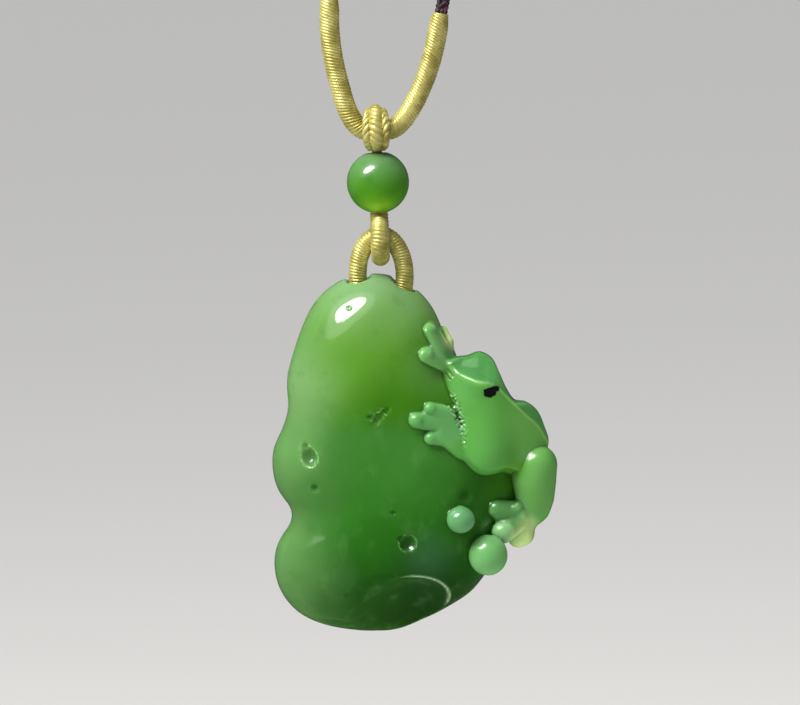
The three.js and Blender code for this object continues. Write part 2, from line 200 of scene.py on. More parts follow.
def curve_through(points, spacing):
    """Evenly spaced places on the centripetal Catmull-Rom curve through the points."""
    points = np.array(points, float)
    padded = np.vstack([2 * points[0] - points[1], points, 2 * points[-1] - points[-2]])
    share = np.linspace(0, 1, 24, endpoint=False)[:, None]
    stretches = []
    for p0, p1, p2, p3 in zip(padded, padded[1:], padded[2:], padded[3:]):
        k0, k1, k2 = (np.linalg.norm(b - a) ** 0.5 for a, b in ((p0, p1), (p1, p2), (p2, p3)))
        out = ((p1 - p0) / k0 - (p2 - p0) / (k0 + k1) + (p2 - p1) / k1) * k1
        back = ((p2 - p1) / k1 - (p3 - p1) / (k1 + k2) + (p3 - p2) / k2) * k1
        cubic = (2 * p1 - 2 * p2 + out + back) * share ** 3
        square = (-3 * p1 + 3 * p2 - 2 * out - back) * share ** 2
        stretches.append(cubic + square + out * share + p1)
    line = np.vstack(stretches + [points[-1:]])
    along = length_along(line)
    stops = np.linspace(0, along[-1], max(2, round(along[-1] / spacing) + 1))
    return np.stack([np.interp(stops, along, line[:, axis]) for axis in range(3)], axis=1)


def length_along(line):
    return np.concatenate([[0], np.cumsum(np.linalg.norm(np.diff(line, axis=0), axis=1))])


def frames_along(line):
    """Two directions across a line at each place, turning with it as little as they can."""
    tangent = np.gradient(line, axis=0)
    tangent /= np.linalg.norm(tangent, axis=1)[:, None]
    lead = np.cross(tangent[0], (0, 1, 0))
    if np.linalg.norm(lead) < 0.3:
        lead = np.cross(tangent[0], (1, 0, 0))
    normal = np.empty_like(line)
    for i, direction in enumerate(tangent):
        lead = lead - direction * (lead @ direction)
        lead /= np.linalg.norm(lead)
        normal[i] = lead
    return normal, np.cross(tangent, normal)


def tube(line, radius, sides=10):
    """A capped tube. radius is a number, or an array that fits (places, sides)."""
    normal, side = frames_along(line)
    turn = np.arange(sides) * TURN / sides
    radius = np.broadcast_to(radius, (len(line), sides))[..., None]
    out = np.cos(turn)[:, None] * normal[:, None] + np.sin(turn)[:, None] * side[:, None]
    ring = line[:, None] + radius * out
    points = np.vstack([ring.reshape(-1, 3), line[0], line[-1]])
    start = (np.arange(len(line) - 1) * sides)[:, None] + np.arange(sides)
    after = (np.arange(len(line) - 1) * sides)[:, None] + (np.arange(sides) + 1) % sides
    faces = np.stack([start, start + sides, after + sides, after], axis=-1).reshape(-1, 4).tolist()
    last = (len(line) - 1) * sides
    for i in range(sides):
        j = (i + 1) % sides
        faces.append((i, j, len(points) - 2))
        faces.append((last + j, last + i, len(points) - 1))
    return points, faces


def wander(count, size, step):
    """Slow, seeded unevenness, near zero, that changes over about this many places."""
    knots = random.normal(0, size, count // step + 3)
    return np.interp(np.arange(count) / step, np.arange(len(knots)), knots)


def wound(line, radius, pitch, ridge, sides=32, taper=None, starts=1):
    """A tube wound with threads: ridges run round it, a pitch apart, each turn a little different."""
    along = length_along(line)
    taper = np.ones(len(line)) if taper is None else taper
    turn = np.arange(sides) / sides
    loose = wander(len(line), 0.1, 22)
    phase = (along / pitch + loose)[:, None] + starts * turn
    which = np.floor(phase).astype(int)
    across = 2 * (phase - which) - 1
    uneven = random.normal(0, 0.1, which.max() + 2)[which]
    uneven = uneven + 0.05 * np.sin(TURN * (2 * turn + 0.11 * along[:, None]))
    bump = np.sqrt(np.clip(1 - across ** 2, 0, 1))
    wound_radius = radius - ridge * (1 - bump) * (1 + uneven) + ridge * 0.5 * uneven
    return tube(line, wound_radius * taper[:, None], sides)


def around(line, radius, angle):
    """The line that goes round another at a radius and an angle for each place."""
    normal, side = frames_along(line)
    return line + radius * (np.cos(angle)[:, None] * normal + np.sin(angle)[:, None] * side)


def twisted(line, plies, ply_radius, lay_radius, pitch, sides=10, start=0.0):
    """Plies laid round each other as in a rope."""
    along = length_along(line)
    turns = [along / pitch * TURN + start + TURN * ply / plies for ply in range(plies)]
    return [tube(around(line, lay_radius, angle), ply_radius, sides) for angle in turns]


def braided(line, diameter, strand_radius, turn_length, sides=6):
    """A round braid of eight strands, four each way, that pass over and under each other."""
    along = length_along(line)
    parts = []
    lift = 0.42 * strand_radius
    middle = diameter / 2 - strand_radius - lift
    for way in (1, -1):
        for strand in range(4):
            angle = way * (along / turn_length * TURN) + TURN * strand / 4 + (0 if way > 0 else TURN / 8)
            over = np.cos(4 * along / turn_length * TURN + way * math.pi / 2)
            radius = (middle + lift * over)[:, None]
            parts.append(tube(around(line, radius, angle), strand_radius, sides))
    return parts


def planar(route):
    return [(x, 0, z) for x, z in route]


def loop_line(x, neck, far, half_depth, gap, spacing):
    """An oval loop in the YZ plane, open by a short gap at its neck."""
    middle = (neck + far) / 2
    turns = np.linspace(gap, TURN - gap, 21)
    points = [(x, half_depth * math.sin(t), middle + (neck - middle) * math.cos(t)) for t in turns]
    return curve_through(points, spacing)


def neck_taper(count, thinnest, stretch):
    share = np.linspace(0, 1, count)
    near = np.clip(1 - np.minimum(share, 1 - share) / stretch, 0, 1)
    return 1 - (1 - thinnest) * near ** 1.5


def lathe(profile, segments, centre):
    """Points (radius, height) turned round a vertical axis. The profile closes on itself."""
    profile = np.array(profile, float)
    turn = np.arange(segments) * TURN / segments
    ring = np.stack([
        profile[:, 0] * np.cos(turn)[:, None], profile[:, 0] * np.sin(turn)[:, None],
        np.broadcast_to(profile[:, 1], (segments, len(profile))),
    ], axis=-1)
    rows = len(profile)
    faces = []
    for i in range(segments):
        for j in range(rows):
            i2, j2 = (i + 1) % segments, (j + 1) % rows
            faces.append((i * rows + j, i2 * rows + j, i2 * rows + j2, i * rows + j2))
    return ring.reshape(-1, 3) + np.array(centre), faces


def bored_ball(diameter, bore, centre, segments=72, rows=40, lip=0.18):
    """A ball with a hole along Z and softly rounded mouths."""
    radius = diameter / 2
    mouth = math.asin((bore / 2 + lip) / radius)
    angles = np.linspace(mouth, math.pi - mouth, rows)
    outer = [(radius * math.sin(a), -radius * math.cos(a)) for a in angles]
    edge = radius * math.cos(mouth)
    turn_in = [(bore / 2 + lip * (1 - math.sin(a)), edge - lip * (1 - math.cos(a)))
               for a in np.linspace(0.25, math.pi / 2, 6)]
    inner = [(bore / 2, height) for height in np.linspace(edge - lip * 1.3, -edge + lip * 1.3, 10)]
    turn_out = [(r, -h) for r, h in reversed(turn_in)]
    return lathe(outer + turn_in + inner + turn_out, segments, centre)


# The stone as a distance
LOBES = [
    ((-1.4, 0, -58), (7.6, 6, 7.2)), ((-1.6, 0, -63.6), (9.6, 6.8, 9.2)),
    ((-6.2, 0, -72.2), (7, 6.2, 7)), ((-5.2, 0, -83.8), (8.2, 6.6, 7.2)),
    ((2.4, 0, -81.2), (8.8, 6.6, 8.4)), ((-1, 0, -79.4), (8.4, 7.2, 12)),
    ((3.4, 0.4, -74), (10.4, 6.4, 14.2)), ((12.4, 0.6, -74), (3.4, 3.2, 6)),
]
LOBE_BLEND = 2.5
# The frog in front view, as (x, z): the outline of its head, back, belly and elbow, and the fold that runs
# from its snout over its eye to its rump.
BODY_OUTLINE = [
    (6.3, -60.9), (8.0, -60.4), (9.3, -60.3), (10.6, -59.9), (11.9, -60.6), (12.7, -62.3), (13.5, -64.2),
    (14.4, -65.5), (15.5, -65.7), (16.8, -66.7), (17.6, -68.6), (18.0, -70.4), (16.8, -72.4), (15.0, -73.2),
    (13.2, -72.4), (12.3, -72.2), (10.8, -72.3), (9.6, -71.4), (9.3, -70.4), (8.9, -68.8), (8.1, -66.3),
    (7.4, -64.7), (6.7, -63.1), (6.2, -61.6),
]
FOLD = [
    (5.2, -58.0), (7.0, -60.6), (7.7, -61.7), (9.0, -62.35), (10.6, -62.95), (11.8, -63.2), (12.6, -63.7),
    (13.2, -64.4), (14.5, -65.8), (15.7, -67.1), (16.7, -68.1), (17.6, -69.6), (19.2, -73.0),
]
FOLD_SLOPE, FOLD_ROUND = 0.8, 0.3
BROW_LIFT, BROW_START, BROW_TOP, BROW_END = 0.85, 6.6, 10.7, 13.8
CHEEK_AXIS, CHEEK_RADIUS = (12.0, 1.6), 8.0
FLANK_PLACE, FLANK_OUT = (13.0, -6.2, -68.0), (0.42, -0.9, -0.12)
BACK_CENTRE, BACK_RADIUS = (11.5, -9.0, -67.5), 12.0
BARREL_START = -2.4
HAND_THICK = 0.85
# Hands in front view: limbs through (x, z, radius).
HAND = [
    [(8.7, -69.9, 1.85), (7.2, -68.3, 2.0)], [(6.9, -66.8, 1.3), (4.9, -65.7, 0.78)],
    [(6.4, -67.4, 1.2), (3.3, -66.9, 0.95)], [(6.8, -69.0, 1.1), (4.8, -69.0, 0.76)],
]
UPPER_HAND = [
    [(7.0, -60.3, 1.0), (5.2, -57.0, 0.8)], [(6.7, -60.7, 1.1), (4.7, -59.7, 0.95)],
]
JAW = [(7.2, -64.9), (7.8, -66.3), (8.5, -67.7), (8.8, -69.0), (8.9, -70.0)]
FINGERTIPS = [
    (4.9, -65.7, 0.68), (3.3, -66.9, 0.8), (4.8, -69.0, 0.66), (5.2, -57.0, 0.66), (4.7, -59.7, 0.78),
]
NOSTRILS = [[(6.9, -61.4), (7.6, -62.3)], [(6.6, -61.7), (7.2, -62.6)]]
CELL = 0.26


def smooth_min(a, b, k):
    share = np.clip(0.5 + 0.5 * (a - b) / k, 0, 1)
    return a * (1 - share) + b * share - k * share * (1 - share)


def smooth_max(a, b, k):
    return -smooth_min(-a, -b, k)


def merged(parts, k):
    """Parts joined one after the other, with a fillet of about this size."""
    whole = None
    for part in parts:
        whole = part if whole is None else smooth_min(whole, part, k)
    return whole


def ellipsoid(p, at, radii):
    scaled = (p - np.array(at)) / np.array(radii)
    once = np.linalg.norm(scaled, axis=1)
    twice = np.linalg.norm(scaled / np.array(radii), axis=1)
    return once * (once - 1) / np.maximum(twice, 1e-6)


def limb(p, start, start_radius, end, end_radius):
    """A rod with round ends whose radius changes from one end to the other."""
    start, end = np.array(start, float), np.array(end, float)
    span = end - start
    share = np.clip((p - start) @ span / (span @ span), 0, 1)
    radius = start_radius + (end_radius - start_radius) * share
    return np.linalg.norm(p - start - span * share[:, None], axis=1) - radius


def limbs(p, balls, k):
    """Limbs end to end through (place, radius) balls."""
    return merged((limb(p, *start, *end) for start, end in zip(balls, balls[1:])), k)


def pebble(p):
    field = merged((ellipsoid(p, at, radii) for at, radii in LOBES), LOBE_BLEND)
    across = np.sin(p[:, 0] * 0.9 + 1.3 * np.sin(p[:, 2] * 0.37))
    waves = across * np.sin(p[:, 2] * 0.8 + 0.6 + np.sin(p[:, 1] * 0.5))
    return field + 0.05 * waves


def column_at(x, z, count=400, depth=9):
    """Places one behind the other, from the middle of the pebble out through its front."""
    return np.stack([np.full(count, x), np.linspace(0, -depth, count), np.full(count, z)], axis=1)


def front_at(x, z):
    """The place on the pebble's front at this x and z, and the direction out of it."""
    column = column_at(x, z)
    inside = pebble(column) < 0
    last = int(np.argmin(inside)) if not inside.all() else len(column) - 1
    place = column[max(last - 1, 0)]
    step = 0.05
    ahead = np.array([place + step * axis for axis in np.eye(3)])
    behind = np.array([place - step * axis for axis in np.eye(3)])
    out = pebble(ahead) - pebble(behind)
    return place, out / np.linalg.norm(out)


def on_front(x, z, lift):
    place, _ = front_at(x, z)
    return tuple(place - np.array([0, lift, 0]))


def off_front(x, z, lift):
    """The place at this x and z that is this far in front of the pebble."""
    column = column_at(x, z)
    return tuple(column[int(np.argmax(pebble(column) > lift))])


def cheek_front(x):
    """How far forward the side of the face is."""
    return CHEEK_AXIS[1] - math.sqrt(CHEEK_RADIUS ** 2 - (x - CHEEK_AXIS[0]) ** 2)


def frog_shape():
    """The frog's parts, worked out once: places on the pebble need its surface."""
    ankle = ((15.5, -2.2, -79.2), 1.0)
    return {
        "outline": flat_curve(BODY_OUTLINE + BODY_OUTLINE[:1]),
        "fold": flat_curve(FOLD),
        "nostrils": [[((x, cheek_front(x), z), 0.13) for x, z in line] for line in NOSTRILS],
        "jaw": [(on_front(x, z, 0.6), 0.34) for x, z in JAW],
        "arm": [((11.2, -3.7, -68.6), 2.3), ((10.95, -4.0, -70.9), 2.35),
                (on_front(8.7, -69.9, -0.9), 1.85)],
        "far_finger": [((7.35, -1.4, -60.2), 0.52), ((7.15, -0.9, -58.8), 0.58),
                       ((6.6, -0.4, -57.6), 0.58)],
        "thigh": [((16.9, -3.2, -72.6), 1.8), ((15.8, -3.2, -73.6), 1.6)],
        "leg": [((16.6, -3.2, -72.9), 2.1), ((16.35, -2.8, -74.7), 2.15), ((16.35, -2.3, -76.7), 1.83),
                ((16.15, -2.2, -78.0), 1.4), ankle],
        "toes": [
            [((15.0, -2.5, -78.2), 1.2), (on_front(11.95, -77.6, 0.2), 1.05)],
            [((14.2, -3.2, -77.8), 0.8), ((14.25, -3.7, -77.5), 0.6)],
            [((15.0, -2.9, -78.7), 0.8), ((14.9, -3.5, -78.4), 0.65)],
            [((14.2, -2.8, -79.2), 1.2), ((12.6, -3.6, -80.25), 1.28)],
            [(on_front(12.2, -78.4, 0.1), 0.8), ((13.2, -3.1, -79.6), 0.9)],
            [ankle, ((14.9, -2.0, -80.8), 1.15), ((14.3, -1.9, -81.15), 1.15)],
        ],
        "fingertips": [(off_front(x, z, 0.3), radius) for x, z, radius in FINGERTIPS],
        "small_drop": off_front(7.85, -78.3, 0.5),
        "large_drop": off_front(10.8, -82.6, 1.15),
    }


def flat_curve(points):
    """A smooth line through (x, z) places."""
    return curve_through([(x, 0, z) for x, z in points], 0.5)[:, [0, 2]]


def to_segments(flat, line):
    """For each stretch of a line: its start and span, the way from its start, and the distance squared."""
    for start, end in zip(line, line[1:]):
        off, span = flat - start, end - start
        share = np.clip(off @ span / (span @ span), 0, 1)[:, None]
        yield start, span, off, ((off - span * share) ** 2).sum(1)


def to_outline(flat, outline):
    """Distance from a closed outline in the XZ plane, below zero inside it."""
    nearest, inside = np.full(len(flat), np.inf), np.zeros(len(flat), bool)
    for start, span, off, distance in to_segments(flat, outline):
        nearest = np.minimum(nearest, distance)
        crosses = (start[1] > flat[:, 1]) != (start[1] + span[1] > flat[:, 1])
        inside ^= crosses & (off[:, 0] < off[:, 1] * span[0] / (span[1] or 1e-9))
    return np.where(inside, -1, 1) * np.sqrt(nearest)


def above_line(flat, line):
    """Distance from an open line in the XZ plane, above zero on the left of its way."""
    nearest, side = np.full(len(flat), np.inf), np.ones(len(flat))
    for _, span, off, distance in to_segments(flat, line):
        nearer = distance < nearest
        nearest = np.where(nearer, distance, nearest)
        side = np.where(nearer, np.sign(span[0] * off[:, 1] - span[1] * off[:, 0]), side)
    return side * np.sqrt(nearest)


def frog_body(p, shape):
    """Head and back: a rounded front inside the outline, with a brow, that falls away past the fold."""
    flat = p[:, [0, 2]]
    front = np.linalg.norm(p[:, :2] - np.array(CHEEK_AXIS), axis=1) - CHEEK_RADIUS
    beyond = above_line(flat, shape["fold"])
    brow = np.clip((p[:, 0] - BROW_START) / (BROW_TOP - BROW_START), 0, 1)
    brow = brow * np.clip((BROW_END - p[:, 0]) / (BROW_END - BROW_TOP), 0, 1)
    brow = BROW_LIFT * brow * brow * (3 - 2 * brow)
    front = front - brow * np.exp(-(beyond / np.where(beyond < 0, 1.2, 0.6)) ** 2)
    front = front + FOLD_SLOPE * 0.5 * (beyond + np.sqrt(beyond ** 2 + FOLD_ROUND ** 2))
    flank = (p - np.array(FLANK_PLACE)) @ (np.array(FLANK_OUT) / np.linalg.norm(FLANK_OUT))
    front = smooth_max(front, flank, 1.2)
    back = np.linalg.norm(p - np.array(BACK_CENTRE), axis=1) - BACK_RADIUS
    barrel = 0.12 * np.maximum(p[:, 1] - BARREL_START, 0) ** 2
    body = smooth_max(front, to_outline(flat, shape["outline"]) - 0.1 + barrel, 0.4)
    body = smooth_max(body, back, 1.0)
    for line in shape["nostrils"]:
        body = smooth_max(body, -limbs(p, line, 0.1), 0.06)
    return smooth_min(body, ellipsoid(p, (14.2, -1.5, -71.7), (2.9, 2.9, 2.4)), 1.1)


def flat_hand(p, fingers, pebble_field):
    """A thin hand that lies on the pebble, rounded at its edges."""
    seen = p * (1, 0, 1)
    outline = merged((
        limb(seen, (x0, 0, z0), r0, (x1, 0, z1), r1) for (x0, z0, r0), (x1, z1, r1) in fingers
    ), 0.25)
    return smooth_max(smooth_max(outline, pebble_field - HAND_THICK, 1.0), p[:, 1], 0.1)


def frog(p, shape, pebble_field):
    near = (p[:, 0] > 0) & (p[:, 2] < -53) & (p[:, 2] > -86)
    whole = np.full(len(p), 9.0)
    if not near.any():
        return whole
    p, pebble_field = p[near], pebble_field[near]
    body = smooth_min(frog_body(p, shape), limbs(p, shape["arm"], 1.6), 1.4)
    leg = smooth_min(limbs(p, shape["leg"], 1.2), limbs(p, shape["thigh"], 0.1), 1.0)
    body = smooth_min(body, leg, 0.12)
    hand = flat_hand(p, HAND, pebble_field)
    body = smooth_min(body, hand, 0.35)
    body = smooth_min(body, flat_hand(p, UPPER_HAND, pebble_field), 0.3)
    body = smooth_min(body, limbs(p, shape["far_finger"], 0.3), 0.2)
    for place, radius in shape["fingertips"]:
        body = smooth_min(body, np.linalg.norm(p - np.array(place), axis=1) - radius, 0.2)
    for toe in shape["toes"]:
        body = smooth_min(body, limbs(p, toe, 0.5), 0.35)
    jaw = limbs(p, shape["jaw"], 0.1)
    body = smooth_max(body, -jaw, 0.12)
    whole[near] = body + 0.17 * np.clip(0.9 - np.maximum(jaw, 0), 0, 1) * chiselled(p)
    return whole


def chiselled(p):
    """Small uneven facets that a tool left, between -1 and 1."""
    across = np.sin(7.3 * p[:, 0] + 1.7 * np.sin(5.0 * p[:, 2]))
    return across * np.sin(8.1 * p[:, 2] + 1.3 * np.sin(6.0 * p[:, 0]))


def drops(p, shape):
    """Two round dewdrops, the small one drawn up to a point."""
    x, y, z = shape["small_drop"]
    point = limb(p, (x, y, z), 0.9, (x, y + 0.3, z + 1.25), 0.2)
    small = smooth_min(ellipsoid(p, (x, y, z), (1.6, 1.6, 1.5)), point, 0.5)
    return np.minimum(small, ellipsoid(p, shape["large_drop"], (2.2, 2.2, 2.3)))


# Hollows cut by the carver: x, z, radius across, radius along, depth, turn in degrees.
HOLLOWS = [
    (-8.9, -70.7, 1.0, 1.3, 0.8, 30), (-9.3, -69.5, 0.5, 0.5, 0.25, 0),
    (-8.4, -74.2, 0.55, 0.5, 0.28, 0), (1.85, -80.6, 1.0, 1.0, 0.7, 0),
    (1.1, -80.0, 0.5, 0.4, 0.25, 20), (8.45, -75.8, 0.75, 0.75, 0.3, 0),
    (0.35, -77.1, 0.45, 0.3, 0.2, 0), (-3.8, -54.2, 0.34, 0.34, 0.16, 0), (-7.3, -53.4, 0.5, 1.1, 0.25, -35),
    (-1.0, -66.5, 1.1, 0.45, 0.3, 55), (-0.1, -65.7, 0.7, 0.35, 0.25, 40), (-1.9, -66.3, 0.5, 0.3, 0.2, 20),
    (-5.2, -86.4, 0.5, 0.45, 0.2, 0), (-2.6, -90.2, 2.0, 0.7, 0.6, 8), (-6.6, -90.0, 2.6, 1.0, 0.4, -12),
]
SCOOP, SCOOP_FADE = (0.9, -89.0, 6.9, 7.0, 2.4, -24), 1.0
CHIPS = (-0.6, -6.5, -65.9)


def hollow_list():
    """Where each hollow is, and the directions out of it, across it and along it. The scoop comes last."""
    made = []
    for x, z, across, along, depth, turn in HOLLOWS + [SCOOP]:
        place, out = front_at(x, z)
        right = np.cross(out, (0, 0, 1))
        right /= -np.linalg.norm(right)
        up = np.cross(right, out)
        up *= math.copysign(1, up[2])
        angle = math.radians(turn)
        u = right * math.cos(angle) + up * math.sin(angle)
        v = up * math.cos(angle) - right * math.sin(angle)
        made.append((place, out, u, v, across, along, depth))
    return made


def cut_hollows(p, field, hollows):
    """Round pits with crisp rims, and the scoop, whose rim is crisp only on its right."""
    for hollow in hollows[:-1]:
        field = smooth_max(field, hollow_field(p, hollow), 0.1)
    fading = 0.05 + 1.6 * np.clip((SCOOP_FADE - p[:, 0]) / 3, 0, 1)
    return smooth_max(field, hollow_field(p, hollows[-1]), fading)


def hollow_field(p, hollow):
    place, out, u, v, across, along, depth = hollow
    off = p - place
    spread = (off @ u / across) ** 2 + (off @ v / along) ** 2
    return np.minimum(off @ out - depth * (spread - 1), 5)


def ring_line(low, high, spacing):
    """Part of the lower ring's oval, in the XZ plane, between two angles from its lowest point."""
    middle, half = (LOWER_RING_TOP + LOWER_RING_BOTTOM) / 2, (LOWER_RING_TOP - LOWER_RING_BOTTOM) / 2
    turns = np.linspace(low, high, 25)
    points = [(LINK_X + LOWER_RING_HALF_WIDTH * math.sin(t), 0, middle - half * math.cos(t)) for t in turns]
    return curve_through(points, spacing)


def tunnel(p, line):
    """The ring's tunnel, flared front to back so that the stone can rock on it."""
    flare = np.abs(p[:, 2] - LOWER_RING_BOTTOM) * math.tan(math.radians(ROCK_ANGLE + 1)) + 0.1
    squeezed = p.copy()
    squeezed[:, 1] = np.maximum(np.abs(p[:, 1]) - flare, 0)
    near = merged((limb(squeezed, start, 0, end, 0) for start, end in zip(line, line[1:])), 0.25)
    return near - (RING_TUBE / 2 + 0.14)


def stone_field():
    shape = frog_shape()
    hollows = hollow_list()
    bore = ring_line(-0.62 * math.pi, 0.62 * math.pi, 1.6)

    def field(p):
        stone = pebble(p)
        whole = smooth_min(stone, frog(p, shape, stone), 0.2)
        whole = cut_hollows(p, whole, hollows)
        chips = np.linalg.norm((p - np.array(CHIPS)) * (0.8, 0.2, 1), axis=1)
        whole = whole + 0.15 * np.clip(1 - chips, 0, 1) * chiselled(p)
        whole = smooth_min(whole, drops(p, shape), 0.12)
        near_top = p[:, 2] > -60
        if near_top.any():
            whole[near_top] = smooth_max(whole[near_top], -tunnel(p[near_top], bore), 0.6)
        return smooth_max(whole, p[:, 1] - BACK_PLANE, 0.15)

    def frog_field(p):
        return np.minimum(frog(p, shape, pebble(p)), drops(p, shape))

    def beyond_fold(p):
        return np.where(p[:, 0] > 5.5, above_line(p[:, [0, 2]], shape["fold"]), -9)

    # Where the scoop's rim is painted pale, a painted glow of light through its thin edge.
    def scoop_rim_glow_mask(p):
        away = np.abs(pebble(p)) + np.abs(hollow_field(p, hollows[-1]))
        fade = np.clip((p[:, 0] - SCOOP_FADE) / 1.5, 0, 1) * np.clip((p[:, 2] + 88.7) / 0.8, 0, 1)
        return np.exp(-(away / 0.11) ** 2) * fade

    return field, frog_field, {"proud": pebble, "fold": beyond_fold, "rim": scoop_rim_glow_mask}


# Skinning a distance with a mesh
def in_chunks(field, points, size=200_000):
    return np.concatenate([field(points[i:i + size]) for i in range(0, len(points), size)])


def sampled(field, low, high, cell):
    """The field on a grid: coarse everywhere, and fine only near the surface."""
    ratio = 4
    coarse = cell * ratio
    counts = [int(math.ceil((b - a) / coarse)) + 1 for a, b in zip(low, high)]
    axes = [a + coarse * np.arange(n) for a, n in zip(low, counts)]
    places = np.stack(np.meshgrid(*axes, indexing="ij"), axis=-1).reshape(-1, 3)
    rough = in_chunks(field, places).reshape(counts)
    fine = rough.repeat(ratio, 0).repeat(ratio, 1).repeat(ratio, 2)
    near = np.zeros(counts, bool)
    near[:-1, :-1, :-1] = np.abs(rough[:-1, :-1, :-1]) < coarse * 2.6
    picked = np.argwhere(near.repeat(ratio, 0).repeat(ratio, 1).repeat(ratio, 2))
    fine[tuple(picked.T)] = in_chunks(field, np.array(low) + picked * cell)
    return fine


def surface_net(values, low, cell):
    """One point in each cell that the surface crosses, and a four-sided face round each crossed edge."""
    inside = values < 0
    size = np.array(values.shape) - 1
    mixed = np.zeros(size, int)
    for corner in np.ndindex(2, 2, 2):
        mixed += inside[tuple(slice(c, c + n) for c, n in zip(corner, size))]
    cells = np.argwhere((mixed > 0) & (mixed < 8))
    steps = np.eye(3, dtype=int)
    index = np.full(size, -1)
    index[tuple(cells.T)] = np.arange(len(cells))
    total, hits = np.zeros((len(cells), 3)), np.zeros(len(cells))
    for axis, step in enumerate(steps):
        others = [o for o in range(3) if o != axis]
        for near in np.ndindex(2, 2):
            start = cells.copy()
            start[:, others] += near
            a, b = values[tuple(start.T)], values[tuple((start + step).T)]
            crossed = (a < 0) != (b < 0)
            share = np.where(crossed, a / np.where(crossed, a - b, 1), 0)
            total[crossed] += (start + step * share[:, None])[crossed]
            hits += crossed
    points = np.array(low) + total / hits[:, None] * cell
    faces = []
    for axis, step in enumerate(steps):
        one, two = steps[(axis + 1) % 3], steps[(axis + 2) % 3]
        low_part = inside[tuple(slice(1, n) if k != axis else slice(0, n) for k, n in enumerate(size))]
        high_part = inside[tuple(slice(1, n) if k != axis else slice(1, n + 1) for k, n in enumerate(size))]
        crossed = np.argwhere(low_part != high_part) + 1 - step
        round_edge = (crossed - one - two, crossed - two, crossed, crossed - one)
        four = np.stack([index[tuple(place.T)] for place in round_edge], axis=1)
        outward = inside[tuple(crossed.T)]
        faces.append(np.where(outward[:, None], four, four[:, ::-1]))
    return points, np.vstack(faces)


def spread_out(points, edges, field, cell, rounds=2):
    """Spreads the points evenly and puts each one on the surface. edges lists each one both ways."""
    shares = np.bincount(edges[:, 0], minlength=len(points))[:, None]
    for left in range(rounds, -1, -1):
        if left:
            ends = points[edges[:, 1]]
            sums = [np.bincount(edges[:, 0], ends[:, axis], len(points)) for axis in range(3)]
            points = points * 0.5 + np.stack(sums, axis=1) / shares * 0.5
        for _ in range(1 if left else 2):
            here = in_chunks(field, points)
            step = cell * 0.2
            slope = np.stack([
                (in_chunks(field, points + step * axis) - here) / step for axis in np.eye(3)
            ], axis=1)
            move = here[:, None] * slope / np.maximum((slope ** 2).sum(1), 0.2)[:, None]
            points = points - np.clip(move, -cell, cell)
    return points


# Materials
def new_material(name):
    skin = bpy.data.materials.new(name)
    skin.use_nodes = True
    return skin


